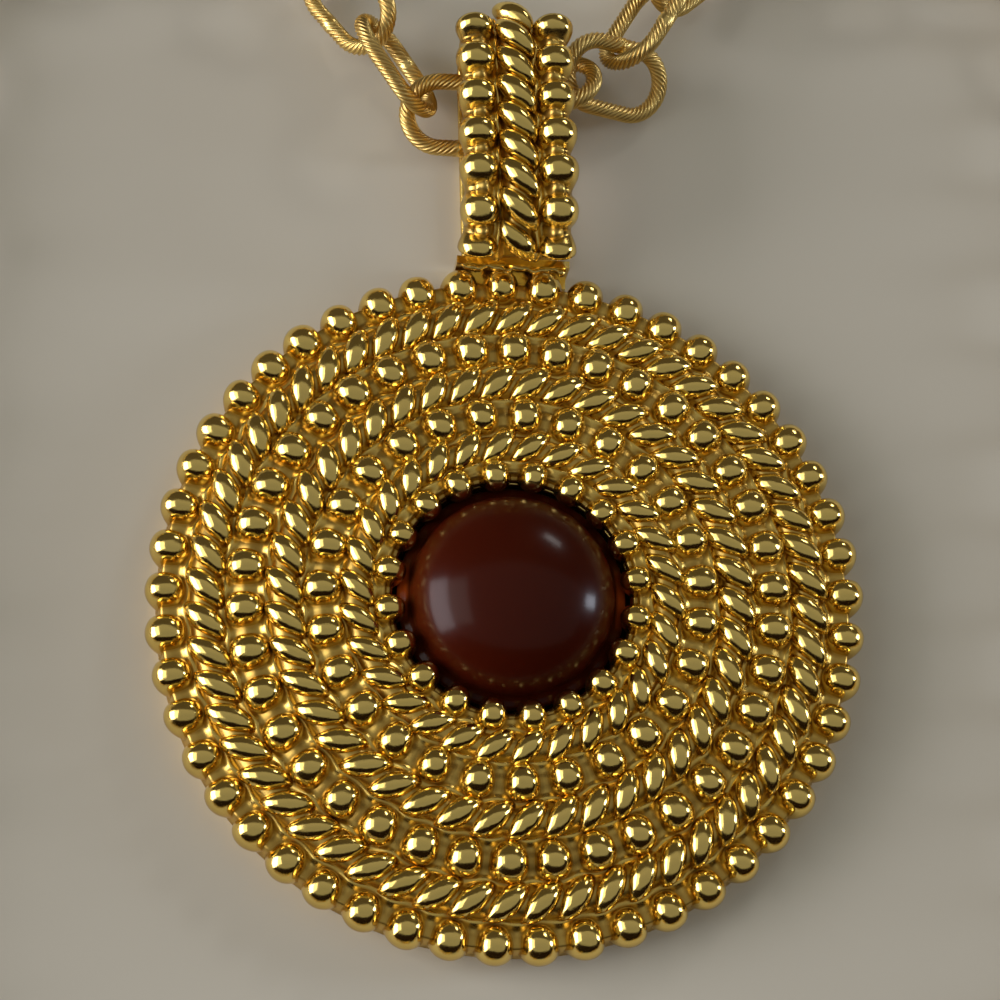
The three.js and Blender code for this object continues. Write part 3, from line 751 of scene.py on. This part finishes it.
# ridges beside the rope and outside the beads: place, waver, width, height, swing
STRAP_RIDGES = ((1.75, 0.14, 0.45, 0.75, 0.3), (4.1, 0.0, 0.35, 0.35, 0.2))
strap_length = bail_frame(0, 0, 0, 1)
along = np.linspace(0.01, strap_length - 0.01, 230)
line, out, up = bail_frame(0, 0, 0, 1, along)
x = outline[:, 0][None, :] + 0 * along[:, None]
z = outline[:, 1][None, :] + 0 * along[:, None]
faded = np.clip((ROW_END * sum(PATH) + 0.5 - along) / 1.5, 0, 1)[:, None]
on_front = (outline[:, 1] > SHEET_HALF - 0.01)[None, :] * faded
ripple = np.sin(along * 2 * math.pi / RIPPLE_STEP)[:, None]
# the strap's deep tone, partly patina and partly painted shade: full in the channels between its
# ridges, none on the ridges, slight on its back
depth_shade_map = np.ones_like(z)
# the cast gold rises in webs between the beads of a row, which are found along the strap first
row_length = bail_frame(0, BEAD_LINE, ROW_START, BEADS_END)
bead_run = np.linspace(0, row_length, ROW_BEADS)
row_line = bail_frame(0, BEAD_LINE, ROW_START, BEADS_END, bead_run)[0]
above = line[:, 1:] + BEAD_LINE * up[:, 1:]
at_bead = [along[np.argmin(np.linalg.norm(above - bead[1:], axis=1))] for bead in row_line]
between = 0.5 - 0.5 * np.cos(2 * math.pi * np.interp(along, at_bead, range(ROW_BEADS)))[:, None]
web = between * np.exp(-((np.abs(x) - ROW_SIDE) / ROW_WEB_WIDE) ** 4)
z = z + on_front * ROW_WEB_HIGH * web
z = z + on_front * (1 - np.clip((np.abs(x) - 3.2) / 0.9, 0, 1) ** 2)
for edge, waver, wide, height, swing in STRAP_RIDGES:
    for hand in (-1, 1):
        ridge = np.exp(-((x - hand * (edge + waver * ripple)) / wide) ** 2)
        z = z + on_front * ridge * (height + swing * ripple)
        depth_shade_map = depth_shade_map - ridge * on_front
depth_shade_map = np.where(on_front > 0, depth_shade_map, BACK_DARKENING)
rings = line[:, None] + x[..., None] * out[:, None] + z[..., None] * up[:, None]
piece = skin("bail_strap_loop", rings, False, depth_shade_map)
fit(piece, "pendant", "polished_gold", cast_gold, "bail_strap")

# ---- chain ----------------------------------------------------------------------------------
# Long cable links bent from fluted, twisted wire, each closed with a small soldered joint on
# one side. The plating is paler and less bright than the medallion's, darker in the flutes.
PALE_GOLD, FLUTE_GROOVE_GOLD = (0.97, 0.73, 0.26), (0.46, 0.26, 0.07)
chain_gold = metal_finish(
    "chain_gold", PALE_GOLD, FLUTE_GROOVE_GOLD, depth=1.0,
    roughness=0.2, smudge=0.14, hairlines=0.5, ripple=0.5, bump=0.35)
LINK = {"wire": 1.5, "half": 5.0, "bend": 3.05}
RING = {"wire": 1.0, "half": 2.6, "bend": 2.6}
LINK_GAP, GROUND_GAP, SOLDERED = 0.4, 0.45, -0.1


def heading_way(heading, tilt):
    """The direction with this heading on the ground, in degrees, tilted up from it."""
    h, t = math.radians(heading), math.radians(tilt)
    return Vector((math.cos(h) * math.cos(t), math.sin(h) * math.cos(t), math.sin(t)))


def hook(before, size, heading, roll, gap=LINK_GAP, tilt=0.0, catch=None, back=0.0):
    """The next link, hung in the far end of the one before it."""
    along = heading_way(heading, tilt)
    flat = Vector((0, 0, 1)).cross(along).normalized()
    across = Matrix.Rotation(math.radians(roll), 3, along) @ flat
    if catch is None:
        angle = math.atan2(along.dot(before["across"]), along.dot(before["along"]))
    else:
        angle = math.radians(catch)
    old = before["size"]
    reach = old["half"] - old["bend"] - back + old["bend"] * math.cos(angle)
    pivot = (
        before["centre"] + before["along"] * reach
        + before["across"] * (old["bend"] * math.sin(angle)))
    centre = pivot + along * (size["half"] - (old["wire"] + size["wire"]) / 2 - gap)
    return {"size": size, "centre": centre, "along": along, "across": across, "pivot": pivot}


def lay(before, size, heading, roll, gap=LINK_GAP):
    """The next link, with its far end resting on the ground."""
    level = hook(before, size, heading, roll, gap)
    rest = size["bend"] * abs(math.sin(math.radians(roll))) + size["wire"] / 2 + GROUND_GAP
    reach = 2 * size["half"] - (before["size"]["wire"] + size["wire"]) / 2 - gap
    tilt = math.degrees(math.asin((rest - level["pivot"].z) / reach))
    return hook(before, size, heading, roll, gap, tilt)


FLUTES, FLUTE_DEEP, FLUTE_SIDES, LINK_TWISTS, LINK_STEPS, JOINT_HALF = 9, 0.21, 4, 6, 120, 0.55


def link_line(size, steps):
    """The closed centre-line of a link, [along, across], its outward direction and distances."""
    straight, arc = 2 * (size["half"] - size["bend"]), math.pi * size["bend"]
    total = 2 * (straight + arc)
    rows = []
    for s in np.linspace(0, total, steps, endpoint=False):
        turn_back = s >= total / 2
        t = s - total / 2 if turn_back else s
        if t < straight:
            p = (-straight / 2 + t, -size["bend"], 0.0, -1.0)
        else:
            a = (t - straight) / size["bend"] - math.pi / 2
            x = straight / 2 + size["bend"] * math.cos(a)
            p = (x, size["bend"] * math.sin(a), math.cos(a), math.sin(a))
        rows.append([-v for v in p] if turn_back else list(p))
    return np.array(rows), np.linspace(0, total, steps, endpoint=False), total


def link_rings(joint_side):
    """The fluted wire of one link in its own frame, with how deep each point lies in its flutes and
    by its joint.
    """
    rows, s, total = link_line(LINK, LINK_STEPS)
    a = np.linspace(0, 2 * math.pi, FLUTES * FLUTE_SIDES, endpoint=False)[None, :]
    straight = 2 * (LINK["half"] - LINK["bend"])
    middle = straight / 2 + (total / 2 if joint_side else 0)
    away = np.abs(s - middle)[:, None]
    joint = np.exp(-(away / JOINT_HALF) ** 2)
    flute = 0.5 - 0.5 * np.cos(FLUTES * a)
    radius = LINK["wire"] / 2 * (1.03 - FLUTE_DEEP * flute * (1 - joint) + 0.03 * joint)
    spin = a + (s / total * LINK_TWISTS * 2 * math.pi)[:, None]
    flat, rise = radius * np.cos(spin), radius * np.sin(spin)
    local = np.stack([
        rows[:, :1] + flat * rows[:, 2:3],
        rows[:, 1:2] + flat * rows[:, 3:4],
        rise,
    ], -1)
    return local, np.clip(flute * (1 - joint) * 1.1 - 0.1, 0, 1) + 0.5 * joint * (away > 0.3)


def place_link(local, link):
    """Points of a link's own frame, at its place in the chain."""
    basis = np.array([link["along"], link["across"], link["along"].cross(link["across"])])
    return local @ basis + np.array(link["centre"])


link_shapes = [link_rings(False), link_rings(True)]
BAIL_LINK_PLACE, BAIL_LINK_ROLL = (-4.95, 46.8, 3.05), math.radians(20)
bail_link = {
    "size": LINK, "centre": Vector(BAIL_LINK_PLACE), "along": Vector((-1, 0, 0)),
    "across": Vector((0, -math.cos(BAIL_LINK_ROLL), -math.sin(BAIL_LINK_ROLL))),
}
bail_link_right = {**bail_link, "along": -bail_link["along"], "across": -bail_link["across"]}
# the first links hang from the bail as they fell; the rest lie along these headings, in degrees
LEFT_START = [dict(heading=126, roll=55, tilt=7, catch=-37)]
RIGHT_START = [
    dict(heading=24, roll=-32, tilt=8.5),
    dict(heading=2, roll=25, tilt=-24, gap=1.1),
    dict(heading=60, roll=-50, tilt=2, catch=90, back=1.2),
]
LEFT_WAY = [128, 145, 162, 180, 203, 226, 249] + [270] * 11 + [293, 316, 339] + [360] * 3
RIGHT_WAY = [46, 23, 0, 0, -23, -46, -69] + [-90] * 12 + [-113, -136, -159] + [-180] * 2
RUN = 5


def branch(side, start, placed, headings, roll, singles):
    """One side of the chain, piece by piece: its links move singly, and further on in runs."""
    pieces, last = [], start
    for place in placed:
        last = hook(last, LINK, **place)
        pieces.append([last])
    for i, heading in enumerate(headings):
        number = len(placed) + i - singles
        opens = number < 0 or number % RUN == 0
        last = lay(last, LINK, heading, roll, LINK_GAP if opens else SOLDERED)
        if opens:
            pieces.append([last])
        else:
            pieces[-1].append(last)
        roll = -roll
    for i, links in enumerate(pieces):
        node = f"chain_{side}_{i + 1:02d}"
        shells = []
        for j, link in enumerate(links):
            local, deep = link_shapes[(i + j) % 2]
            shells.append((place_link(local, link), deep))
        piece = joined("fluted_" + node, shells)
        fit(piece, node, "chain_gold", chain_gold, node)
    return last


local, deep = link_shapes[1]
piece = skin("fluted_chain_bail_link", place_link(local, bail_link), True, deep)
fit(piece, "chain_bail_link", "chain_gold", chain_gold, "chain_bail_link")
left_end = branch("left", bail_link, LEFT_START, LEFT_WAY, roll=-45, singles=11)
right_end = branch("right", bail_link_right, RIGHT_START, RIGHT_WAY, roll=45, singles=12)

# ---- end rings ------------------------------------------------------------------------------
# Two jump rings of plain round wire, one holding the clasp and one for the clasp to catch. The
# ends of each wire are pushed together and not soldered, which leaves a hairline.
RING_STEPS, RING_SPLIT, RING_SIDES = 72, 0.012, 16
clasp_ring = lay(left_end, RING, heading=0, roll=-45)
end_ring = lay(right_end, RING, heading=-180, roll=45)
for node, link in (("clasp_ring", clasp_ring), ("chain_end_ring", end_ring)):
    steps = RING_STEPS
    a = np.linspace(RING_SPLIT, 2 * math.pi - RING_SPLIT, steps)
    line = np.stack([RING["bend"] * np.cos(a), RING["bend"] * np.sin(a), 0 * a], -1)
    out = np.stack([np.cos(a), np.sin(a), 0 * a], -1)
    up = np.tile([0.0, 0.0, 1.0], (steps, 1))
    ends = np.minimum(np.arange(steps), np.arange(steps)[::-1])
    thick_wire = RING["wire"] / 2 * np.where(ends == 0, 0.9, 1.0)
    local, deep = round_section(line, out, up, thick_wire, 0 * a, 0.2 * (ends < 2), RING_SIDES)
    piece = skin("wire_" + node, place_link(local, link), False, np.minimum(deep, 0.3))
    fit(piece, node, "chain_gold", chain_gold, node)

# ---- clasp ----------------------------------------------------------------------------------
# A cast lobster clasp: a hooked body with an eye, a trigger that turns on a riveted pin, and
# a tiny coil spring of steel wire that pushes the trigger shut against the hook's nose.
STEEL, DARK_STEEL = (0.62, 0.61, 0.6), (0.2, 0.18, 0.16)
clasp_gold = metal_finish(
    "clasp_gold", PALE_GOLD, DEEP_GOLD, depth=0.7,
    roughness=0.13, smudge=0.1, hairlines=0.3, ripple=0.7, bump=0.3)
spring_steel = metal_finish(
    "spring_steel", STEEL, DARK_STEEL, depth=0.6,
    roughness=0.2, smudge=0.1, hairlines=0.7, ripple=0.3, bump=0.3)
for node, voxel, passes in (("clasp_body", 0.09, 9), ("clasp_trigger", 0.07, 4)):
    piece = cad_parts[node]
    cast = piece.modifiers.new("cast_skin", "REMESH")
    cast.mode = "VOXEL"
    cast.voxel_size = voxel * MM
    cast.use_smooth_shade = True
    tumbled = piece.modifiers.new("tumbled", "SMOOTH")
    tumbled.factor = 0.5
    tumbled.iterations = passes
    piece.data.materials.clear()
    piece.data.materials.append(clasp_gold)
soften("clasp_pin", 0.1, spring_steel)

CLASP = {"wire": 0, "half": 5.2, "bend": 3.4}
SPRING_PLACE, COILS, COIL_STEPS = (3.98, -0.98, 0), 5, 150
clasp = hook(clasp_ring, CLASP, heading=0, roll=45, gap=0, tilt=6)
a = np.linspace(0, COILS * 2 * math.pi, COIL_STEPS)
coil, wire, high = 0.21, 0.06, 0.95
tangent = np.stack([-coil * np.sin(a), coil * np.cos(a), 0 * a + high / a[-1]], -1)
tangent /= np.linalg.norm(tangent, axis=1)[:, None]
out = np.stack([np.cos(a), np.sin(a), 0 * a], -1)
line = coil * out + np.stack([0 * a, 0 * a, np.linspace(-high / 2, high / 2, COIL_STEPS)], -1)
local, deep = round_section(line, out, np.cross(tangent, out), 0 * a + wire, 0 * a, 0 * a, 8)
local = local + np.array(SPRING_PLACE)
seat = {**clasp, "centre": clasp["pivot"]}
piece = skin("coil_spring", place_link(local, seat), False, np.minimum(deep, 0.3))
fit(piece, "clasp", "spring_steel", spring_steel, "clasp_spring")
